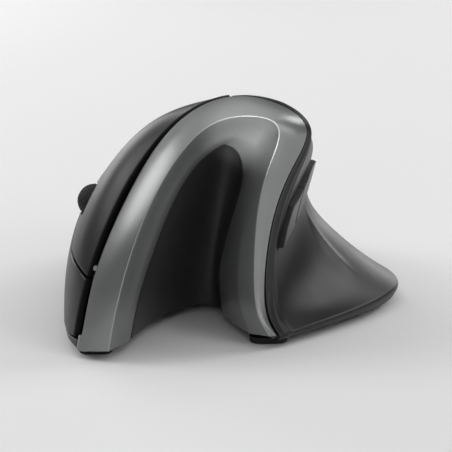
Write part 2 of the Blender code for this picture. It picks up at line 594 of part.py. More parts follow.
def base_parts(plastic, dark, rubber, steel, green, clear):
    plate = prism("base_plate", base_outline(2.9), BASE_Z, PLATE_TOP, plastic)
    holes = [prism("door_opening", rectangle(DOOR_X[1] - DOOR_X[0] + 0.7, DOOR_Y[1] - DOOR_Y[0] + 0.7),
                   0, 9, None, centre=(sum(DOOR_X) / 2, sum(DOOR_Y) / 2, 0)),
             rod("sensor_window", 4.0, 12, (*SENSOR_AT, 3), None),
             prism("power_slot", rounded(3.8, 8.6, 0.6, 2), 0, 9, None, centre=(*POWER_AT, 0)),
             prism("receiver_well", rounded(15.4, 7.2, 0.8, 2), 0, 9, None, centre=(*RECEIVER_AT, 0))]
    for number, place in enumerate(SCREW_PLACES, 1):
        head, shank, low = 2.4, 1.0, BASE_Z + 0.1
        turned(f"screw_{number}", [(0, 7.6), (shank, 7.6), (shank, low + 0.9), (head, low + 0.9), (head, low),
                                   (0, low)], (*place, 0), steel, steps=16)
        turned(f"screw_post_{number}", [(3.0, 8.8), (3.0, 4.35), (1.4, 4.35), (1.4, 8.8)], (*place, 0), dark, steps=16)
        holes.append(turned(f"screw_hole_{number}", [(0, 6), (1.4, 6), (1.4, 3.35), (2.8, 3.35), (2.8, 1), (0, 1)],
                            (*place, 0), None, steps=16))
    for hole in holes:
        cut(plate, hole)
    for name, (place, size) in FOOT_PLACES.items():
        prism(name, rounded(*size, 2.4), 0, BASE_Z - 0.3, rubber, centre=(*place, 0))
    x, y = SENSOR_AT
    lens = [(0, 6.6), (3, 6.6), (3, 5.4), (6, 5.4), (6, 4.35), (3.5, 4.35), (3.5, 2.7), (0, 2.7)]
    turned("sensor_lens", lens, (x, y, 0), clear, steps=24)
    main = box("main_board", (25.5, 37, 1.2), (-22.5, 11, 7.6), green, bevel=0)
    cut(main, rod("sensor_sight", 2.2, 10, (x, y, 8), None, sides=16))
    box("optical_sensor", (10, 10, 2.4), (x, y, 9.8), dark)
    x, y = POWER_AT
    box("power_switch", (6, 11, 3.4), (x, y, 6.1), steel)
    box("power_slider", (3, 4, 2.5), (x, y - 2, 2.8), dark, pivot=(x, y - 2, BASE_Z))
    x, y = RECEIVER_AT
    prism("receiver_cap", rounded(14.6, 6.4, 0.9, 2), BASE_Z + 0.1, 8.5, dark, centre=(x, y, 0),
          pivot=(x, y, BASE_Z))
    box("receiver_plug", (12, 4.5, 11.4), (x, y, 14.5), steel, pivot=(x, y, BASE_Z))


def power_parts(plastic, dark, steel, wrap):
    x, z = BATTERY_AT
    front, rear = BATTERY_ENDS
    along = axes((0, 1, 0), (1, 0, 0))
    cell = [(0, rear + 1.0), (2.6, rear + 1.0), (2.6, rear), (BATTERY_RADIUS, rear), (BATTERY_RADIUS, front),
            (0, front)]
    turned("battery", cell, (x, 0, z), wrap, along, steps=28)
    middle = (sum(DOOR_X) / 2, sum(DOOR_Y) / 2)
    tray = box("battery_tray", (18.6, 60.6, 5.6), (x, 15.4, 7.15), plastic, bevel=0)
    cut(tray, box("tray_opening", (15.8, 58.2, 20), (x, 15.4, 7), None, bevel=0))
    box("battery_plate", (9, 0.5, 7), (x, rear + 1.65, 8.6), steel, bevel=0)
    turns, start = 3.5, front - 4.6
    coil = bpy.data.curves.new("battery_spring", "CURVE")
    coil.dimensions = "3D"
    coil.bevel_depth = 0.35 * MM
    coil.bevel_resolution = 1
    coil.use_fill_caps = True
    path = coil.splines.new("POLY")
    steps = int(turns * 14)
    path.points.add(steps)
    for i in range(steps + 1):
        share = i / steps
        radius, angle = 4.4 - 1.8 * share, math.tau * turns * share
        spot = (x + radius * math.cos(angle), start + 4.0 * share, z + radius * math.sin(angle))
        path.points[i].co = (*(Vector(spot) * MM), 1)
    spring = bpy.data.objects.new("battery_spring", coil)
    spring.location = -MIDDLE * MM
    coil.materials.append(steel)
    COLLECTION.objects.link(spring)
    prism("battery_door", rounded(DOOR_X[1] - DOOR_X[0], DOOR_Y[1] - DOOR_Y[0], 0.4, 1), DOOR_LOW,
          PLATE_TOP - 0.4, dark, centre=(*middle, 0), pivot=(middle[0], DOOR_Y[1], DOOR_LOW))


# ---- the mouse --------------------------------------------------------------------------------------------

def main():
    for old in list(bpy.data.objects):
        bpy.data.objects.remove(old)
    bpy.context.scene.collection.children.link(COLLECTION)
    bpy.context.scene.collection.children.link(CUTTERS)

    trim_grey = material("trim_grey", (0.21, 0.215, 0.215), 0.34, 0.6)
    shell_black = material("shell_black", (0.022, 0.022, 0.023), 0.42)
    grip_black = material("grip_black", (0.028, 0.028, 0.029), 0.5)
    liner_black = material("liner_black", (0.035, 0.036, 0.036), 0.55)
    inner_black = material("inner_black", (0.012, 0.012, 0.013), 0.6)
    button_black = material("button_black", (0.04, 0.04, 0.042), 0.38)
    rubber = material("rubber", (0.02, 0.02, 0.021), 0.75)
    steel = material("steel", (0.6, 0.6, 0.6), 0.3, 1.0)
    board_green = material("board_green", (0.03, 0.13, 0.06), 0.45)
    lens_clear = material("lens_clear", (0.75, 0.78, 0.8), 0.1)
    cell_wrap = material("cell_wrap", (0.25, 0.32, 0.2), 0.35)

    upper = finger_button("upper_button", above_split, lambda a: RIDGE - 0.03,
                          tuple(BUTTON_HINGES["upper"][0]), shell_black)
    lower = finger_button("lower_button", lambda a: rail_top(a) + SPLIT_GAP, button_split,
                          tuple(BUTTON_HINGES["lower"][0]), shell_black)
    palm = palm_shell(shell_black)
    thumb = thumb_shell(grip_black)
    side_rail(shell_black)
    arch_trim(trim_grey)
    scoop_liner(liner_black)
    side_buttons(thumb, button_black, inner_black, board_green)
    scroll_wheel(rubber, inner_black, steel, inner_black)
    finger_parts((upper, lower), palm, inner_black, button_black, board_green, lens_clear)
    base_parts(inner_black, button_black, rubber, steel, board_green, lens_clear)
    power_parts(inner_black, button_black, steel, cell_wrap)


main()
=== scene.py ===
"""Looks of a right-handed vertical computer mouse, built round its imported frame.

The outer body is one smooth form, a hood of eight hoops from the front rim to the tail. Every outer shell is
a stretch of it: hood(a, b) takes the hoop number a, 0 at the front rim and 7 at the tail, and the rail
number b, 0 at the foot of the finger side and 12 at the lip of the thumb rest. Design lengths are in
millimetres.
"""

import json
import math

import bmesh
import bpy
import numpy as np
from mathutils import Matrix, Vector


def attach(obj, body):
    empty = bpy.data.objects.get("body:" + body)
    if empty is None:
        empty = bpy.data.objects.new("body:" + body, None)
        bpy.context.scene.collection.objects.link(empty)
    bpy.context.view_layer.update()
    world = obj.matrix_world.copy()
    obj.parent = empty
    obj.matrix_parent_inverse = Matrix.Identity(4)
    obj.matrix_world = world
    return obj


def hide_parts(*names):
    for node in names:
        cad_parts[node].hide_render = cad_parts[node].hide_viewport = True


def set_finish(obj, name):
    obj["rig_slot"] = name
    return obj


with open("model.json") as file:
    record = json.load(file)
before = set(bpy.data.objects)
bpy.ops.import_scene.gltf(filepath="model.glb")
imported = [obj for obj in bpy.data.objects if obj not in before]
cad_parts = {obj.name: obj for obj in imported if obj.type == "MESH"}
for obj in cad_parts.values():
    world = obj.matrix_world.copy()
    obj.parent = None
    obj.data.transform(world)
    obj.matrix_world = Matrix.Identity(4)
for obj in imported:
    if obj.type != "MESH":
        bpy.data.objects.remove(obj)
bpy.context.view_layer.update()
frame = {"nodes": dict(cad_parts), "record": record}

MM = 0.001
MIDDLE = np.array((-0.42, -0.445, 0.0))  # design point that lies on the frame's origin
TAIL, LIP = 7, 12  # the last hoop and the last rail
BASE_Z = 2.0  # height of the outer shells' lower rims
SHELL = 1.8  # wall of the outer shells
RIM = 0.3  # rounding of the rims of cut openings
ROUND = 0.5  # bevel profile that gives a quarter circle
RIDGE = 5.2  # rail where the finger side meets the thumb side
BUTTON_REAR = 3.0  # hoop of the finger buttons' hinge lines
SPLIT_GAP = 0.045  # rails between the two finger buttons, and between the lower one and the side rail
SIDE_BUTTON_PROUD = 1.6
WHEEL_AT = (2.05, 2.3)  # hoop and rail over the middle of the wheel
WHEEL_RADIUS = 12.0
WHEEL_WIDTH = 8.0
WHEEL_DEPTH = 9.2  # from the form down to the wheel's axle
RESOLUTION_AT = (3.45, 2.75)  # hoop and rail of the resolution button
EDGE_STEPS = 4  # rows in each rounded edge

# Eight hoops of the form, each from the finger foot over the ridge to the lip of the thumb rest.
HOOPS = np.array([
    [(-39.5, -54.5, 2), (-35.9, -53, 16.4), (-30.6, -49.6, 30.5), (-23.6, -44.5, 44), (-15.2, -38.5, 55.6),
     (-3.8, -34.5, 61.8), (8.3, -34, 60.9), (17.4, -36, 54.3), (14, -38, 44.8), (9, -41.2, 32),
     (6.9, -44.5, 16), (8, -46, 7), (10.1, -47, 3.4)],
    [(-42.5, -46, 2), (-41, -45, 16), (-36.6, -42, 31.5), (-29, -37, 46.1), (-18.6, -31, 55.9),
     (-4, -26, 59.6), (9.5, -26, 58.3), (18.5, -28, 51.5), (16.3, -30, 42.5), (12, -34, 29.5),
     (12.5, -37, 15), (17, -38.7, 7.5), (20, -38.5, 4.2)],
    [(-44.5, -28, 2), (-44, -27, 14.5), (-40.2, -25, 29.4), (-32.4, -21, 41.5), (-20.9, -16, 51.3),
     (-4, -12, 55.6), (10.5, -12, 54), (19.5, -14, 47.3), (18.4, -16, 40), (17, -19, 29.5),
     (22.5, -22, 17), (30.5, -23.5, 9), (35.2, -23, 5)],
    [(-44.6, -6, 2), (-44.2, -5, 13.2), (-40.4, -4, 25.6), (-33.4, -1, 36.2), (-22.5, 2, 45.6),
     (-4, 6, 49.6), (11, 6, 47.8), (20.3, 4, 42), (19.6, 0, 36), (19.4, -3, 28.3),
     (26.2, -5, 19.6), (36.5, -6, 10.8), (43.8, -5.5, 5.6)],
    [(-42.5, 16, 2), (-42.3, 16, 12.5), (-38.6, 16.5, 22.5), (-32, 20, 31.5), (-21.5, 23, 38.6),
     (-4, 26, 41), (10, 26, 38.8), (18.8, 23, 34), (19.2, 20, 28.2), (20.6, 18, 21.2),
     (26, 16, 13.6), (34, 15, 8), (38.6, 14.5, 5.4)],
    [(-35.5, 34, 2), (-35, 34.5, 10), (-31, 36, 17.5), (-25.5, 38.5, 23.5), (-17, 41, 28),
     (-5, 43, 29.5), (7, 42.5, 27.5), (15, 40, 24), (18, 37.5, 19.5), (20.2, 35.5, 14.5),
     (23.4, 33.5, 9.6), (27, 32.5, 6.6), (29.5, 32, 5)],
    [(-30.3, 43, 2), (-28.5, 44.5, 6), (-24.8, 47, 10), (-20, 49.5, 13), (-13, 52, 15),
     (-5, 53.2, 15.6), (4, 52.5, 14.6), (11, 50, 12.8), (15, 47.5, 10.6), (18.4, 44.6, 8.2),
     (21.4, 42, 6.4), (23.9, 40.2, 5.2), (25.2, 39.5, 4.6)],
    [(-27.5, 47, 2), (-25.5, 49, 2), (-22, 51.5, 2), (-17.6, 53.8, 2), (-11.8, 55.8, 2),
     (-4.6, 56.8, 2), (2.6, 56.2, 2), (9, 54.4, 2), (13.6, 52, 2), (18, 48.8, 2),
     (21.3, 45.4, 2), (22.9, 43.6, 2), (24, 41.8, 2.2)],
])
# Three more lines of the front arch, at the same rails: its sharp crease, the bend inside it, and its inner
# edge.
CREASE = np.array([
    (-31.6, -57.7, 3), (-29.3, -57.4, 15), (-25.1, -55.3, 29.5), (-19.4, -51, 42.1), (-12.2, -45.9, 52.2),
    (-3.8, -42, 57.6), (5.5, -41, 58.2), (10.3, -41.2, 54.2), (7.6, -42.4, 45.3), (4.9, -44.6, 33),
    (4.3, -47, 16.5), (5.7, -48.2, 8), (8.2, -48, 3.6)])
BEND = np.array([
    (-29.5, -52.8, 2.6), (-27.2, -52, 14.5), (-23.2, -50, 27.4), (-17.9, -46.4, 39.4), (-11.4, -41.6, 48.6),
    (-4.6, -38.2, 53.2), (2.6, -37.4, 54), (6.6, -37.6, 50.6), (4.3, -38.6, 43.4), (1.5, -40.5, 32.2),
    (0.1, -42.2, 16.5), (1.3, -42.8, 8), (3.3, -43.4, 2.8)])
INNER = np.array([
    (-26.8, -46.5, 2.4), (-24.3, -45.6, 14), (-20.6, -43.8, 25.2), (-15.8, -41, 36.7), (-10.1, -37, 45.1),
    (-5, -33.8, 48.8), (-2.2, -32.8, 49.2), (0.6, -31.8, 46.2), (1.4, -30.6, 40.5), (-0.8, -29.2, 31),
    (-4.2, -26.4, 16.5), (-4.4, -24.6, 8), (-3.9, -24, 2)])
# The deepest line of the scoop, from its foot (x and y) to its top.
SCOOP_FOOT = (-8.0, -17.0)
SCOOP_TOP = (-2.6, -30.5, 48.6)


# ---- the form -------------------------------------------------------------------------------------------

def chord_knots(net, axis):
    """Spline parameters for the net's lines, spaced by the square root of their mean distance."""
    steps = np.sqrt(np.linalg.norm(np.diff(net, axis=axis), axis=2).mean(axis=1 - axis))
    knots = np.concatenate([[0], np.cumsum(steps)])
    return knots * (len(knots) - 1) / knots[-1]


def bend_matrix(knots):
    """Second derivatives of a natural cubic spline at its knots, for each knot's value."""
    count, span = len(knots), np.diff(knots)
    left, right = np.eye(count), np.zeros((count, count))
    for i in range(1, count - 1):
        left[i, i - 1:i + 2] = span[i - 1], 2 * (span[i - 1] + span[i]), span[i]
        right[i, i - 1:i + 2] = 6 / span[i - 1], -6 / span[i - 1] - 6 / span[i], 6 / span[i]
    return np.linalg.solve(left, right)


HOOP_KNOTS, RAIL_KNOTS = chord_knots(HOOPS, 0), chord_knots(HOOPS, 1)
HOOP_BENDS, RAIL_BENDS = bend_matrix(HOOP_KNOTS), bend_matrix(RAIL_KNOTS)


def spline_weights(knots, bends, index):
    """Weights of each knot's value, one row for each fractional line number."""
    at = np.interp(np.ravel(index), np.arange(len(knots)), knots)
    i = np.clip(np.searchsorted(knots, at) - 1, 0, len(knots) - 2)
    span = knots[i + 1] - knots[i]
    p = (knots[i + 1] - at) / span
    q = 1 - p
    rows = ((p**3 - p)[:, None] * bends[i] + (q**3 - q)[:, None] * bends[i + 1]) * (span**2 / 6)[:, None]
    rows[np.arange(len(i)), i] += p
    rows[np.arange(len(i)), i + 1] += q
    return rows


def hood(a, b):
    """Points of the form, for arrays of hoop and rail numbers."""
    a, b = np.broadcast_arrays(np.asarray(a, float), np.asarray(b, float))
    along = np.einsum("ni,ijc->njc", spline_weights(HOOP_KNOTS, HOOP_BENDS, a), HOOPS)
    points = np.einsum("nj,njc->nc", spline_weights(RAIL_KNOTS, RAIL_BENDS, b), along)
    return points.reshape(a.shape + (3,))


def line(curve, b):
    """Points of a line of the arch."""
    return (spline_weights(RAIL_KNOTS, RAIL_BENDS, b) @ curve).reshape(np.shape(b) + (3,))


def unit(vector):
    vector = np.asarray(vector, float)
    return vector / np.linalg.norm(vector, axis=-1, keepdims=True)


def directions(a, b, reach=0.02):
    """Outward normal, direction to the rear and direction over the ridge."""
    rearward = hood(a + reach, b) - hood(a - reach, b)
    upward = hood(a, b + reach) - hood(a, b - reach)
    return unit(np.cross(upward, rearward)), unit(rearward), unit(upward)


def raised(a, b, height):
    """Points at this height above the form, or below it if negative."""
    a, b, height = np.broadcast_arrays(np.asarray(a, float), np.asarray(b, float), np.asarray(height, float))
    return hood(a, b) + directions(a, b)[0] * height[..., None]


def smooth(share):
    share = np.clip(share, 0, 1)
    return share * share * (3 - 2 * share)


def hump(distance, width):
    """A bell of height 1 whose half width at 1/e is the width."""
    return np.exp(-(distance / width) ** 2)


# ---- finishes ---------------------------------------------------------------------------------------------

COLOUR_PATCH, SHEEN_PATCH, FLAKE = 14, 9, 0.12  # sizes of the patches and flakes


def finish(name, dark, light, roughness, grain, bump, metallic=0.0, speckle=None, specular=0.5, coat=0.0,
           transmission=0.0):
    """A moulded or plated surface: colour and roughness drift over patches, and a fine grain raises it.

    roughness is (least, most), grain the size of the grain in millimetres, bump its height in millimetres,
    and speckle, where given, the colour of fine flakes."""
    made = bpy.data.materials.new(name)
    made.use_nodes = True
    nodes, links = made.node_tree.nodes, made.node_tree.links
    shader = nodes["Principled BSDF"]
    shader.inputs["Metallic"].default_value = metallic
    shader.inputs["Specular IOR Level"].default_value = specular
    shader.inputs["Coat Weight"].default_value = coat
    shader.inputs["Coat Roughness"].default_value = 0.2
    shader.inputs["Transmission Weight"].default_value = transmission
    place = nodes.new("ShaderNodeTexCoord").outputs["Object"]

    def noise(size, detail):
        cloud = nodes.new("ShaderNodeTexNoise")
        cloud.inputs["Scale"].default_value = 1 / (size * MM)
        cloud.inputs["Detail"].default_value = detail
        links.new(place, cloud.inputs["Vector"])
        return cloud.outputs["Fac"]

    drift = nodes.new("ShaderNodeValToRGB")
    drift.color_ramp.elements[0].position, drift.color_ramp.elements[1].position = 0.3, 0.7
    drift.color_ramp.elements[0].color = (*dark, 1)
    drift.color_ramp.elements[1].color = (*light, 1)
    links.new(noise(COLOUR_PATCH, 4), drift.inputs["Fac"])
    colour = drift.outputs["Color"]
    if speckle:
        flakes = nodes.new("ShaderNodeMix")
        flakes.data_type = "RGBA"
        flakes.inputs["B"].default_value = (*speckle, 1)
        share = nodes.new("ShaderNodeMapRange")
        share.inputs["From Min"].default_value, share.inputs["From Max"].default_value = 0.56, 0.72
        share.inputs["To Max"].default_value = 0.5
        links.new(noise(FLAKE, 1), share.inputs["Value"])
        links.new(share.outputs["Result"], flakes.inputs["Factor"])
        links.new(colour, flakes.inputs["A"])
        colour = flakes.outputs["Result"]
    links.new(colour, shader.inputs["Base Color"])
    sheen = nodes.new("ShaderNodeMapRange")
    sheen.inputs["From Min"].default_value, sheen.inputs["From Max"].default_value = 0.3, 0.7
    sheen.inputs["To Min"].default_value, sheen.inputs["To Max"].default_value = roughness
    links.new(noise(SHEEN_PATCH, 3), sheen.inputs["Value"])
    links.new(sheen.outputs["Result"], shader.inputs["Roughness"])
    relief = nodes.new("ShaderNodeBump")
    relief.inputs["Distance"].default_value = bump * MM
    relief.inputs["Strength"].default_value = 1.0
    links.new(noise(grain, 2), relief.inputs["Height"])
    links.new(relief.outputs["Normal"], shader.inputs["Normal"])
    return made


def grey(value, tint=(1, 1, 1)):
    return tuple(value * t for t in tint)


COOL = (0.985, 1.0, 1.0)
FINISH = {
    "trim": finish("trim_lacquer", grey(0.235, COOL), grey(0.26, COOL), (0.30, 0.34), 0.25, 0.0015,
                   metallic=0.58, speckle=grey(0.34, COOL)),
    # painted highlight: a lighter grey for the narrow faces along the arch's crease
    "trim_crease_highlight": finish("trim_crease_highlight", grey(0.32, COOL), grey(0.36, COOL), (0.32, 0.36), 0.25, 0.001,
                        metallic=0.55),
    "shell": finish("shell_black", grey(0.008), grey(0.011), (0.38, 0.44), 0.35, 0.003, specular=0.42),
    "thumb_grip": finish("grip_black", grey(0.007), grey(0.010), (0.38, 0.44), 0.3, 0.004, specular=0.45),
    "liner": finish("liner_charcoal", grey(0.030), grey(0.038), (0.38, 0.44), 0.3, 0.003, specular=0.4),
    "side_button": finish("button_charcoal", grey(0.028), grey(0.036), (0.32, 0.38), 0.3, 0.002,
                          specular=0.4),
    "inner_plastic": finish("inner_black", grey(0.010), grey(0.015), (0.5, 0.62), 0.4, 0.008),
    "component": finish("component_black", grey(0.014), grey(0.021), (0.4, 0.55), 0.3, 0.005),
    "rubber": finish("rubber_black", grey(0.012), grey(0.019), (0.66, 0.8), 0.2, 0.006, specular=0.35),
    "steel": finish("plated_steel", grey(0.52), grey(0.62), (0.22, 0.36), 0.3, 0.001, metallic=1.0),
    "circuit_board": finish("solder_mask", (0.015, 0.085, 0.035), (0.025, 0.12, 0.05), (0.28, 0.4), 0.5,
                            0.004, speckle=(0.05, 0.2, 0.09), coat=0.3),
    "lens": finish("clear_acrylic", grey(0.72, COOL), grey(0.8, COOL), (0.06, 0.12), 0.5, 0.001,
                   transmission=0.7),
    "cell": finish("cell_wrap", (0.16, 0.2, 0.14), (0.2, 0.25, 0.17), (0.25, 0.35), 0.4, 0.002, coat=0.4),
}


# ---- making pieces ----------------------------------------------------------------------------------------

CUTTER_FACES = bpy.data.materials.new("cutter_faces")


def grid_faces(rows, columns, start=0):
    """Quads of a grid of vertices that are numbered row by row."""
    i, j = np.meshgrid(np.arange(rows - 1), np.arange(columns - 1), indexing="ij")
    corner = start + (i * columns + j).ravel()
    return np.stack([corner, corner + 1, corner + columns + 1, corner + columns], axis=1)


def mesh_of(name, vertices, faces, sharp_over=40):
    """A mesh in metres, in the frame's place, from design millimetres. Its faces turn outward."""
    mesh = bpy.data.meshes.new(name)
    mesh.from_pydata(((np.asarray(vertices) - MIDDLE) * MM).tolist(), [], [tuple(face) for face in faces])
    bm = bmesh.new()
    bm.from_mesh(mesh)
    bmesh.ops.remove_doubles(bm, verts=bm.verts, dist=0.001 * MM)
    bmesh.ops.recalc_face_normals(bm, faces=bm.faces)
    bm.to_mesh(mesh)
    bm.free()
    mesh.shade_smooth()
    mesh.set_sharp_from_angle(angle=math.radians(sharp_over))
    return mesh


def piece(name, mesh, slot, body, *nodes):
    """A shown piece with its slot's finish, riding on a body and standing for these CAD nodes."""
    made = bpy.data.objects.new(name, mesh)
    bpy.context.scene.collection.objects.link(made)
    mesh.materials.clear()
    mesh.materials.append(FINISH[slot])
    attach(made, body)
    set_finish(made, slot)
    if nodes:
        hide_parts(*nodes)
    return made


def rounded_steps(count, share):
    """Positions from 0 to 1, closer inside the rounded edges, which take this share at each end."""
    edge = 1 - np.sin(np.linspace(math.pi / 2, 0, EDGE_STEPS + 1))
    inner = np.linspace(0, 1, count)[1:-1]
    share = np.atleast_1d(share)[:, None]
    start, end = edge * share, 1 - (edge * share)[:, ::-1]
    return np.concatenate([start, share + (1 - 2 * share) * inner, end], axis=1)


def lengths(points, axis):
    """Length of each line of a grid of points along this axis."""
    return np.linalg.norm(np.diff(points, axis=axis), axis=2).sum(axis=axis)


def plate(place, rows, columns, radius=0.4, thickness=SHELL, height=lambda a, b: 0.0):
    """Vertices and faces of a shell with rounded edges.

    place(s, t) gives the hoop and rail numbers of a point of the patch, for s and t from 0 to 1."""
    s, t = np.meshgrid(np.linspace(0, 1, rows + 2 * EDGE_STEPS), np.linspace(0, 1, columns + 2 * EDGE_STEPS),
                       indexing="ij")
    rough = hood(*place(s, t))
    long, wide = lengths(rough, 0), lengths(rough, 1)
    s = rounded_steps(rows, radius / long).T
    t = rounded_steps(columns, radius / wide)
    a, b = place(s, t)
    from_end = np.minimum(s, 1 - s) * long[None, :]
    from_side = np.minimum(t, 1 - t) * wide[:, None]
    turn = np.hypot(np.clip(1 - from_end / radius, 0, 1), np.clip(1 - from_side / radius, 0, 1))
    drop = radius * (1 - np.sqrt(1 - np.clip(turn, 0, 1) ** 2))
    level = np.broadcast_to(height(a, b), a.shape)
    top = raised(a, b, level - drop)
    under = raised(a, b, level - thickness)
    return closed_grid(top, under)


def closed_grid(top, under):
    """A solid between two grids of the same size."""
    rows, columns = top.shape[:2]
    count = rows * columns
    number = np.arange(count).reshape(rows, columns)
    rim = np.concatenate([number[0, :-1], number[:-1, -1], number[-1, :0:-1], number[:0:-1, 0]])
    after = np.roll(rim, -1)
    walls = np.stack([rim, rim + count, after + count, after], axis=1)
    faces = np.concatenate([grid_faces(rows, columns), grid_faces(rows, columns, count)[:, ::-1], walls])
    return np.concatenate([top.reshape(-1, 3), under.reshape(-1, 3)]), faces


def between(front, rear, low, high):
    """place(s, t) for a patch between two hoops and two rails, where a rail may vary with the hoop number."""
    def place(s, t):
        a = front + (rear - front) * s
        bottom = low(a) if callable(low) else low
        top = high(a) if callable(high) else high
        return a, bottom + (top - bottom) * t
    return place


def carve(target, cutter):
    """Cuts the cutter out of the target, and rounds the new rims."""
    target.data.materials.clear()
    target.data.materials.append(FINISH[target["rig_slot"]])
    cutter.data.materials.clear()
    cutter.data.materials.append(CUTTER_FACES)
    bite = target.modifiers.new("bite", "BOOLEAN")
    bite.object = cutter
    bite.solver = "EXACT"
    bite.material_mode = "TRANSFER"
    bpy.context.view_layer.update()
    mesh = bpy.data.meshes.new_from_object(target.evaluated_get(bpy.context.evaluated_depsgraph_get()))
    target.modifiers.clear()
    target.data = mesh
    mark = list(mesh.materials).index(CUTTER_FACES)
    bm = bmesh.new()
    bm.from_mesh(mesh)
    bmesh.ops.dissolve_degenerate(bm, dist=0.01 * MM, edges=bm.edges)

    def is_rim(edge):
        return len(edge.link_faces) == 2 and len({face.material_index for face in edge.link_faces}) == 2

    corners = {vert for edge in bm.edges if is_rim(edge) for vert in edge.verts}
    bmesh.ops.remove_doubles(bm, verts=list(corners), dist=0.12 * MM)
    bmesh.ops.bevel(bm, geom=[edge for edge in bm.edges if is_rim(edge)], offset=RIM * MM, segments=3,
                    profile=ROUND, affect="EDGES", clamp_overlap=True)
    for face in bm.faces:
        face.smooth = True
        if face.material_index == mark:
            face.material_index = 0
    bm.to_mesh(mesh)
    bm.free()
    mesh.set_sharp_from_angle(angle=math.radians(40))
    mesh.materials.clear()
    mesh.materials.append(FINISH[target["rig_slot"]])
    bpy.data.objects.remove(cutter)


def axes(along, across=(0, 0, 1)):
    """A rotation whose local z is along and whose local x is near across."""
    z = Vector(along).normalized()
    x = (Vector(across) - Vector(across).dot(z) * z).normalized()
    return Matrix((x, z.cross(x), z)).transposed().to_4x4()


def placed(centre, turn):
    """The matrix that puts local millimetres at a design point, in metres."""
    return Matrix.Translation((Vector(centre) - Vector(MIDDLE)) * MM) @ turn @ Matrix.Scale(MM, 4)


def rounded_box(name, size, centre, turn, bevel, segments):
    """A mesh in the frame's place; size and centre are in design millimetres."""
    bm = bmesh.new()
    bmesh.ops.create_cube(bm, size=1)
    bmesh.ops.scale(bm, vec=size, verts=bm.verts)
    bmesh.ops.bevel(bm, geom=bm.edges[:], offset=bevel, segments=segments, profile=ROUND, affect="EDGES")
    bmesh.ops.transform(bm, matrix=placed(centre, turn), verts=bm.verts)
    mesh = bpy.data.meshes.new(name)
    bm.to_mesh(mesh)
    bm.free()
    mesh.shade_smooth()
    mesh.set_sharp_from_angle(angle=math.radians(40))
    return mesh


def loose(name, mesh):
    """An object that isn't a piece, such as a cutter or the floor."""
    made = bpy.data.objects.new(name, mesh)
    bpy.context.scene.collection.objects.link(made)
    return made


# ---- front arch -------------------------------------------------------------------------------------------

def trim_rear(b):
    """Hoop number of the arch trim's rear edge, which widens beside the groove."""
    return 0.12 * np.clip((5.0 - b) / 1.6, 0, 1) * np.clip((b - 0.4) / 0.8, 0, 1)


WHOLE = 99  # rounds a corner back as far as its sides allow
RIM_ROUND, CREASE_ROUND, INNER_ROUND, HIDDEN_ROUND = 0.35, 0.28, 0.5, 0.1
BEND_SOFT, BEND_CRISP = 3.5, 0.4


def arch_corners(b):
    """Corners of the arch's section at one rail, and how far each is rounded back.

    The first six are seen, and the others are the back of a wall about 2 mm thick."""
    rear = trim_rear(b)
    rim, crease, bend, inner = hood(rear, b), line(CREASE, b), line(BEND, b), line(INNER, b)
    ahead = 0.03 if b < 11.9 else -0.03
    forward = math.copysign(1, ahead)

    def inward(point, other, here, there):
        return unit(np.cross((there - here) * forward, other - point))

    rim_in = inward(rim, crease, rim, hood(rear, b + ahead))
    face_in = inward(crease, inner, crease, line(CREASE, b + ahead))
    body = unit((rim + inner) / 2 - crease)
    if np.dot(rim_in, body) < 0:
        rim_in = -rim_in
    if np.dot(face_in, body) < 0:
        face_in = -face_in
    normal = directions(np.array(rear + 0.02), np.array(b))[0]
    crown = (rim + crease) / 2 - rim_in * 0.5
    swell = (bend + inner) / 2 - face_in * 0.6
    crisp = smooth((b - 8.2) / 1.6)  # the bend is sharp only low on the thumb side's leg
    corners = [rim, crown, crease, bend, swell, inner,
               inner + unit(rim - inner) * 1.9, swell + face_in * 2.0, bend + face_in * 2.1,
               crease + body * 2.6, rim - normal * 2.0]
    bend_round = BEND_SOFT - (BEND_SOFT - BEND_CRISP) * crisp
    cuts = [RIM_ROUND, WHOLE, CREASE_ROUND, bend_round, WHOLE, INNER_ROUND] + [HIDDEN_ROUND] * 5
    return corners, cuts


def rounded_loop(corners, cuts, steps=5):
    """A closed line with each corner replaced by a short curve that starts and ends this far from it."""
    points = []
    count = len(corners)
    for i, corner in enumerate(corners):
        before, after = corners[i - 1], corners[(i + 1) % count]
        room_before, room_after = np.linalg.norm(before - corner), np.linalg.norm(after - corner)
        start = corner + (before - corner) / room_before * min(cuts[i], room_before * 0.47)
        end = corner + (after - corner) / room_after * min(cuts[i], room_after * 0.47)
        for t in np.linspace(0, 1, steps):
            points.append((1 - t) ** 2 * start + 2 * t * (1 - t) * corner + t * t * end)
    return points


CREASE_HIGHLIGHT_REACH = 0.3  # how far the painted highlight along the arch's crease reaches from the crease line


def paint_crease_highlight(arch):
    """Gives the narrow faces along the arch's crease a lighter grey finish: a painted highlight along the
    crease.
    """
    mesh = arch.data
    mesh.materials.append(FINISH["trim_crease_highlight"])
    crease = line(CREASE, np.linspace(0, LIP, 1200))
    for face in mesh.polygons:
        centre = np.array(face.center) / MM + MIDDLE
        if np.sqrt(((crease - centre) ** 2).sum(axis=1).min()) < CREASE_HIGHLIGHT_REACH:
            face.material_index = 1


def arch_trim():
    rails = np.linspace(0, LIP, 260)
    loops = np.array([rounded_loop(*arch_corners(b)) for b in rails])
    count = loops.shape[1]
    ring = np.arange(count)
    faces = [list(ring), list(ring + (len(rails) - 1) * count)]
    for k in range(len(rails) - 1):
        near, far = k * count + ring, (k + 1) * count + ring
        faces += np.stack([near, np.roll(near, -1), np.roll(far, -1), far], axis=1).tolist()
    arch = piece("arch_trim", mesh_of("arch_trim", loops.reshape(-1, 3), faces, 50), "trim", "housing",
                 "front_arch_trim")
    # painted highlight along the arch's crease
    paint_crease_highlight(arch)
    lug = plate(between(0.012, 0.17, 0.02, 0.26), 16, 16, 0.25)
    piece("arch_trim_lug", mesh_of("arch_trim_lug", *lug), "trim", "housing")


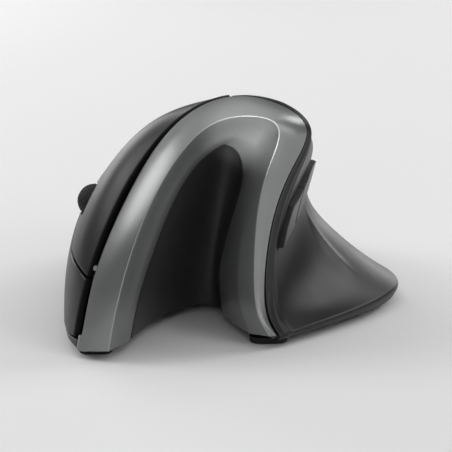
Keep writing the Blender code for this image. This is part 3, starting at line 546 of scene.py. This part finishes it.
def scoop_points(b, s):
    """Points of the scoop: from the arch's inner edge at s = 0 to the deepest line at s = 1."""
    edge = line(INNER, b)
    share = np.clip((edge[2] - BASE_Z) / (SCOOP_TOP[2] - BASE_Z), 0, 1)
    depth = 1 - math.sqrt(1 - 0.999 * share**2)
    deep = np.array((SCOOP_FOOT[0] + (SCOOP_TOP[0] - SCOOP_FOOT[0]) * share,
                     SCOOP_FOOT[1] + (SCOOP_TOP[1] - SCOOP_FOOT[1]) * depth,
                     min(edge[2], SCOOP_TOP[2])))
    side = np.array((edge[0] + (deep[0] - edge[0]) * (0.48 if edge[0] < deep[0] else 0.0), deep[1], deep[2]))
    s = np.asarray(s)[:, None]
    return (1 - s) ** 2 * edge + 2 * s * (1 - s) * side + s * s * deep


def scoop():
    reach = np.linspace(0, 1, 28)
    rows = []
    for left, right in zip(np.linspace(0, 5.35, 90), np.linspace(12, 5.8, 90)):
        sides = []
        for b in (left, right):
            near = np.linalg.norm(scoop_points(b, [0.1]) - scoop_points(b, [0.0])) * 10
            clear = 0.35 / max(1.0, near)
            sides.append(scoop_points(b, clear + (1 - clear) * reach))
        middle = (sides[0][-1] + sides[1][-1]) / 2
        rows.append(np.concatenate([sides[0][:-1], middle[None], sides[1][-2::-1]]))
    outer = np.array(rows)
    along, across = np.gradient(outer, axis=0), np.gradient(outer, axis=1)
    normal = np.cross(across, along)
    deepest = len(reach) - 1  # its points run together under the arch's crown
    normal[:, deepest] = normal[:, deepest - 1] + normal[:, deepest + 1]
    normal = unit(normal)
    if normal[10, deepest, 1] > 0:
        normal = -normal
    liner = closed_grid(outer, outer - normal * 1.6)
    piece("scoop_wall", mesh_of("scoop_wall", *liner), "liner", "housing", "scoop_liner")


# ---- finger side ------------------------------------------------------------------------------------------

GROOVE_DEPTH = 2.6


def groove(b):
    """Hoop number of the finger buttons' front edge: a groove that closes at the ridge."""
    return np.interp(b, [0, 2.8, 5.0], [0.42, 0.3, 0.05])


def rail_top(a):
    """Rail of the top of the low side rail, under the finger buttons."""
    return 0.17 - 0.05 * np.clip(a, 0, 1.6)


def button_split(a):
    """Rail of the split between the finger buttons: low at the front, rising to the wheel from below."""
    straight = 1.12 + 0.2 * a
    return straight + (WHEEL_AT[1] - straight) * smooth((a - 1.5) / 0.8)


def above_split(a):
    """Rail of the upper button's lower edge, which keeps its distance where the split climbs."""
    climb = (button_split(a + 0.02) - button_split(a - 0.02)) / 0.04
    return button_split(a) + SPLIT_GAP * np.hypot(1, climb)


def button_place(low, high):
    """place(s, t) for a finger button: its front edge follows the groove, its rear edge is the hinge line."""
    def place(s, t):
        nominal = BUTTON_REAR * s
        b = low(nominal) + (high(nominal) - low(nominal)) * t
        a = groove(b) + (BUTTON_REAR - 0.02 - groove(b)) * s
        return a, low(a) + (high(a) - low(a)) * t
    return place


WHEEL_OUT, WHEEL_REAR, WHEEL_UP = directions(np.array(WHEEL_AT[0]), np.array(WHEEL_AT[1]))
WHEEL_TOP = hood(*WHEEL_AT)
WHEEL_CENTRE = WHEEL_TOP - WHEEL_OUT * WHEEL_DEPTH
WHEEL_SLOT = (21, 9.2, 44)
FLAT = axes(WHEEL_OUT, WHEEL_REAR)
SPIN = axes(WHEEL_UP, WHEEL_REAR)


RESOLUTION_TOP = hood(*RESOLUTION_AT)
RESOLUTION_OUT, RESOLUTION_REAR, _ = directions(np.array(RESOLUTION_AT[0]), np.array(RESOLUTION_AT[1]))
RESOLUTION_TURN = axes(RESOLUTION_OUT, RESOLUTION_REAR)


def finger_buttons():
    edges = {"upper": (above_split, lambda a: np.full_like(a, RIDGE - 0.03)),
             "lower": (lambda a: rail_top(a) + SPLIT_GAP, button_split)}
    for name, (low, high) in edges.items():
        columns = 90 if name == "upper" else 56
        shell = plate(button_place(low, high), 110, columns, height=lambda a, b: 0.4)
        made = piece(f"{name}_button_shell", mesh_of(name, *shell), "shell", f"{name}_click",
                     f"{name}_button")
        carve(made, loose("wheel_slot", rounded_box("wheel_slot", WHEEL_SLOT, WHEEL_TOP, FLAT, 1.5, 5)))


def side_rail():
    rail = plate(between(0.2, 6.35, 0.03, rail_top), 150, 8, 0.25)
    piece("side_rail", mesh_of("side_rail", *rail), "shell", "housing", "finger_side_rail")


def palm():
    def low(a):
        return rail_top(a) + 0.03 + 0.08 * (a / TAIL) ** 4

    shell = plate(between(BUTTON_REAR + 0.02, TAIL, low, RIDGE - 0.02), 130, 110, 0.35)
    made = piece("palm_cover", mesh_of("palm_cover", *shell), "shell", "housing", "palm_shell")
    opening = rounded_box("resolution_opening", (10, 5.2, 12), RESOLUTION_TOP, RESOLUTION_TURN, 0.8, 4)
    carve(made, loose("resolution_opening", opening))


def groove_floor():
    """Dark channel between the arch and the finger buttons."""
    strip = plate(between(0.0, 0.55, 0.2, 5.0), 14, 120, 0.2, 0.8, lambda a, b: -GROOVE_DEPTH)
    piece("groove_floor", mesh_of("groove_floor", *strip), "inner_plastic", "housing")


# ---- thumb side -------------------------------------------------------------------------------------------

FULL_LIP = 2.6  # height above the base at which the lip has its full roll


def lip_skirt(a):
    """The rolled lip and the foot of the skirt below the lip of the thumb rest."""
    lip = hood(a, LIP)
    ahead = unit((hood(np.minimum(a + 0.05, TAIL), LIP) - hood(np.maximum(a - 0.05, 0), LIP)) * (1, 1, 0))
    outward = np.stack([ahead[..., 1], -ahead[..., 0], 0 * ahead[..., 0]], axis=-1)
    height = lip[..., 2:] - BASE_Z
    fold = outward * np.clip(height / FULL_LIP, 0, 1)
    drop = height * (0, 0, 1)
    return lip + fold * 0.5 - drop * 0.35, lip - fold * 0.9 - drop


def thumb_rise(a, b):
    """Height of the thumb shell over the form: a bead beside the arch, a valley and a fine rib behind it, and
    a low ridge across the thumb rest."""
    middle = np.interp(b, [RIDGE, 7.8, 9.0, 10.1, 11.1], [0.14, 0.3, 0.38, 0.34, 0.22])
    bead = 0.85 * hump(a - middle, 0.14) * np.clip(b - 5.2, 0, 1)
    beside = smooth((b - 6.2) / 0.8) * (1 - smooth((b - 8.9) / 0.5))
    rib = (0.35 * hump(a - middle - 0.52, 0.1) - 0.3 * hump(a - middle - 0.28, 0.1)) * beside
    along_ridge = smooth((b - 8.9) / 0.7) * (1 - smooth((b - 10.2) / 0.8))
    ridge = 0.4 * hump(a - 2.27, 0.09) * along_ridge
    return bead + rib + ridge


def thumb_side():
    """The thumb side's cover. Its hoops stand closer together at the bead and at the low ridge."""
    hoops = np.concatenate([np.linspace(0.05, 1.2, 76)[:-1], np.linspace(1.2, 2.0, 16)[:-1],
                            np.linspace(2.0, 2.6, 30)[:-1], np.linspace(2.6, TAIL, 100)])
    rails = np.linspace(RIDGE + 0.02, LIP, 150)
    a, b = np.meshgrid(hoops, rails, indexing="ij")
    form = hood(a, b)
    roll, foot = lip_skirt(hoops)
    last = form[:, -1]
    turn = np.linspace(0, 1, 9)[1:, None, None]
    control = roll + (roll - (last + foot) / 2) * 0.6
    skirt = (1 - turn) ** 2 * last + 2 * turn * (1 - turn) * control + turn**2 * foot
    form = np.concatenate([form, skirt.transpose(1, 0, 2)], axis=1)
    along, across = np.gradient(form, axis=0), np.gradient(form, axis=1)
    normal = unit(np.cross(across, along))
    rise = thumb_rise(a, b)
    rise = np.concatenate([rise, rise[:, -1:] * (1 - turn[:, 0, 0])], axis=1)[..., None]
    shell = closed_grid(form + normal * rise, form - normal * SHELL)
    made = piece("thumb_cover", mesh_of("thumb_cover", *shell), "thumb_grip", "housing", "thumb_shell")
    opening = mesh_of("side_button_opening", *closed_grid(strip_grid(3.5), strip_grid(-5.5)))
    carve(made, loose("side_button_opening", opening))


SIDE_BUTTONS = {"forward": (0.9, 1.42), "back": (1.46, 2.85)}
SIDE_OPENING = (0.86, 2.9)
SIDE_MARGIN = 0.045  # rails from the thumb buttons to the edge of their opening


def strip_ab(s, side, margin=0.0):
    """Hoop and rail numbers in the strip of thumb buttons: s runs to the rear, side from -1 below to 1
    above."""
    middle = 9.0 - 0.54 * (s - 1.0)
    half = 0.34 - 0.03 * (s - 1.0) + margin
    b = middle - half * side
    return s - 0.4 * (b - middle), b


def strip_grid(height):
    """Points of the thumb buttons' opening, at this height over the form."""
    s, side = np.meshgrid(np.linspace(*SIDE_OPENING, 60), np.linspace(1, -1, 20), indexing="ij")
    return raised(*strip_ab(s, side, SIDE_MARGIN), height)


def side_buttons():
    for name, (front, rear) in SIDE_BUTTONS.items():
        def place(s, t, front=front, rear=rear):
            return strip_ab(front + (rear - front) * s, 1 - 2 * t)
        cap = plate(place, 60, 24, 0.4, 2.4, lambda a, b: SIDE_BUTTON_PROUD)
        piece(f"{name}_button_cap", mesh_of(name, *cap), "side_button", f"{name}_key", f"{name}_button")


# ---- wheel ------------------------------------------------------------------------------------------------

def ring(name, radius, width, steps):
    """A closed ring about the wheel's axle. Radius has a row for each step round it and a column for each
    corner of its section, and width holds the corners' places along the axle."""
    profile = radius.shape[1]
    angle = np.linspace(0, math.tau, steps, endpoint=False)[:, None]
    width = np.broadcast_to(width, radius.shape)
    local = np.stack([radius * np.cos(angle), radius * np.sin(angle), width], axis=-1)
    turn = np.array(SPIN.to_3x3())
    points = local.reshape(-1, 3) @ turn.T + WHEEL_CENTRE
    i, j = np.meshgrid(np.arange(steps), np.arange(profile), indexing="ij")
    corner, after = i * profile + j, ((i + 1) % steps) * profile + j
    right = (j + 1) % profile - j
    faces = np.stack([corner, corner + right, after + right, after], axis=-1).reshape(-1, 4)
    return mesh_of(name, points, faces)


KNURLS = 56  # diamonds round the tread
KNURL_DEPTH = 0.4
TREAD_BORE = 9.3
# Half of the hub's section, as (radius, distance from the middle).
HUB_PROFILE = [(9.0, 3.2), (8.6, 3.5), (7.6, 3.5), (7.2, 2.6), (2.6, 2.6), (2.2, 3.4), (1.4, 3.4)]


def tread():
    """The barrel-shaped tread, with diamonds between crossed grooves."""
    half = WHEEL_WIDTH / 2
    steps = KNURLS * 8
    across = np.linspace(-1, 1, 49)
    barrel = WHEEL_RADIUS - 2.4 * np.abs(across) ** 2.5
    angle = np.linspace(0, KNURLS, steps, endpoint=False)[:, None]
    skew = across[None, :] * half / 1.35
    tooth = np.minimum(np.abs((angle + skew) % 1 - 0.5), np.abs((angle - skew) % 1 - 0.5)) * 2
    relief = KNURL_DEPTH * (1 - smooth(tooth * 3.2)) * smooth((1 - np.abs(across)) * 6)
    radius = np.concatenate([barrel - relief, np.full((steps, 2), TREAD_BORE)], axis=1)
    width = np.concatenate([across * half, [half, -half]])
    piece("tread", ring("tread", radius, width, steps), "rubber", "wheel", "wheel_tread")


def hub(steps=96):
    section = np.array(HUB_PROFILE + [(r, -w) for r, w in reversed(HUB_PROFILE)])
    disc = ring("wheel_disc", np.tile(section[:, 0], (steps, 1)), section[:, 1], steps)
    piece("wheel_disc", disc, "component", "wheel", "wheel_hub")


# ---- small pieces and carried-over nodes -------------------------------------------------------------------

def resolution_key():
    centre = RESOLUTION_TOP - RESOLUTION_OUT * 0.4
    mesh = rounded_box("resolution_cap", (9.2, 4.4, 2.6), centre, RESOLUTION_TURN, 0.7, 5)
    piece("resolution_cap", mesh, "side_button", "resolution_key", "resolution_button")


# The middle and the size of each foot, seen from above.
FOOT_PLACES = {
    "front_left_foot": ((-35.4, -44.8), (8.4, 14)),
    "front_right_foot": ((8.0, -36.9), (9.6, 13.4)),
    "thumb_foot": ((33.0, -10.0), (6, 11)),
    "rear_left_foot": ((-18.5, 46.0), (10, 5.4)),
    "rear_right_foot": ((15.8, 40.0), (6, 10)),
}


FOOT_CORNER = 2.4
# Height and inset of each outline of a foot, from the rounded sole up into the base.
FOOT_LEVELS = [(0, 0.45), (0.12, 0.2), (0.35, 0.04), (0.6, 0), (BASE_Z - 0.3, 0)]


def foot_outline(wide, deep, radius, steps=8):
    """A rectangle with rounded corners."""
    points = []
    for turn, (sx, sy) in enumerate([(1, 1), (-1, 1), (-1, -1), (1, -1)]):
        for step in range(steps + 1):
            angle = math.pi / 2 * (turn + step / steps)
            points.append((sx * (wide / 2 - radius) + radius * math.cos(angle),
                           sy * (deep / 2 - radius) + radius * math.sin(angle)))
    return points


def feet():
    """Pads with a rounded sole edge."""
    for name, ((x, y), (wide, deep)) in FOOT_PLACES.items():
        rings = []
        for z, inset in FOOT_LEVELS:
            outline = foot_outline(wide - 2 * inset, deep - 2 * inset, FOOT_CORNER - inset)
            rings.append([(x + px, y + py, z) for px, py in outline])
        count = len(rings[0])
        faces = [list(range(count)), list(range((len(rings) - 1) * count, len(rings) * count))]
        for k in range(len(rings) - 1):
            near, far = k * count + np.arange(count), (k + 1) * count + np.arange(count)
            faces += np.stack([near, np.roll(near, -1), np.roll(far, -1), far], axis=1).tolist()
        mesh = mesh_of(name, np.array(rings).reshape(-1, 3), faces)
        piece(name + "_pad", mesh, "rubber", "housing", name)


def dress_nodes():
    """Gives each CAD node that is still shown its slot's finish."""
    slots = {part["node"]: part["material_slot"] for part in frame["record"]["subparts"]}
    for name, node in frame["nodes"].items():
        node.data.materials.clear()
        node.data.materials.append(FINISH[slots[name]])


# ---- floor, lights and camera -----------------------------------------------------------------------------

AIM = (-2.8, -6.0, 21.0)  # design point that the camera and the softboxes face
CROWN_INSIDE = (1.4, -37.0, 53.0)  # inner face of the arch, below its crown
DISTANCE, ELEVATION, FOCAL_LENGTH = 0.492, 15.0, 145
# Azimuth (0 in front, positive towards the thumb side), elevation, distance, side and power.
SOFTBOXES = {
    "overhead": (0, 88, 1.6, 2.6, 17),
    "front_low": (14, 9, 0.9, 0.25, 0.3),
    "front_high": (-12, 24, 0.9, 0.25, 0.5),
    "right_front": (50, 30, 0.9, 0.35, 1.2),
    "right_low": (62, 9, 0.9, 0.25, 0.5),
    "left_side": (-95, 36, 0.9, 0.4, 2.4),
    "back_left": (-148, 18, 0.9, 0.5, 2.4),
    "right_side": (108, 37, 0.9, 0.35, 1.8),
    "back_right": (150, 12, 0.9, 0.35, 1),
}


def hang(name, data, target, azimuth, elevation, distance):
    """A light or camera at this distance from a design point, which it faces."""
    made = bpy.data.objects.new(name, data)
    turn, rise = math.radians(azimuth), math.radians(elevation)
    away = Vector((math.sin(turn) * math.cos(rise), -math.cos(turn) * math.cos(rise), math.sin(rise)))
    made.location = (Vector(target) - Vector(MIDDLE)) * MM + away * distance
    made.rotation_euler = away.to_track_quat("Z", "Y").to_euler()
    bpy.context.scene.collection.objects.link(made)
    return made


def lights():
    """Softboxes all round, and a narrow soft beam on the inner face of the arch."""
    for name, (azimuth, elevation, distance, side, power) in SOFTBOXES.items():
        box = bpy.data.lights.new(name, "AREA")
        box.shape = "RECTANGLE"
        box.size, box.size_y = side, side
        box.energy = power
        hang(name, box, AIM, azimuth, elevation, distance)
    beam = bpy.data.lights.new("crown", "SPOT")
    beam.energy = 34
    beam.spot_size = math.radians(2.2)
    beam.spot_blend = 1.0
    beam.shadow_soft_size = 0.002
    hang("crown", beam, CROWN_INSIDE, -4, 4, 0.6)
    world = bpy.data.worlds.new("studio")
    bpy.context.scene.world = world
    world.use_nodes = True
    world.node_tree.nodes["Background"].inputs["Color"].default_value = (1, 1, 1, 1)
    world.node_tree.nodes["Background"].inputs["Strength"].default_value = 0.03


def stage():
    """A plain pale floor."""
    bm = bmesh.new()
    bmesh.ops.create_grid(bm, x_segments=1, y_segments=1, size=4)
    mesh = bpy.data.meshes.new("floor")
    bm.to_mesh(mesh)
    bm.free()
    floor = loose("floor", mesh)
    paper = bpy.data.materials.new("pale_paper")
    paper.use_nodes = True
    shader = paper.node_tree.nodes["Principled BSDF"]
    shader.inputs["Base Color"].default_value = (0.86, 0.86, 0.86, 1)
    shader.inputs["Roughness"].default_value = 0.9
    shader.inputs["Specular IOR Level"].default_value = 0.1
    mesh.materials.append(paper)


def camera():
    """The photo's view, with its tones left as they are rendered."""
    data = bpy.data.cameras.new("camera")
    data.lens = FOCAL_LENGTH
    data.clip_start = 0.01
    bpy.context.scene.camera = hang("camera", data, AIM, 0, ELEVATION, DISTANCE)
    bpy.context.scene.view_settings.view_transform = "Standard"


# ---- the mouse --------------------------------------------------------------------------------------------

dress_nodes()
arch_trim()
scoop()
finger_buttons()
side_rail()
palm()
groove_floor()
thumb_side()
side_buttons()
tread()
hub()
resolution_key()
feet()
stage()
lights()
camera()
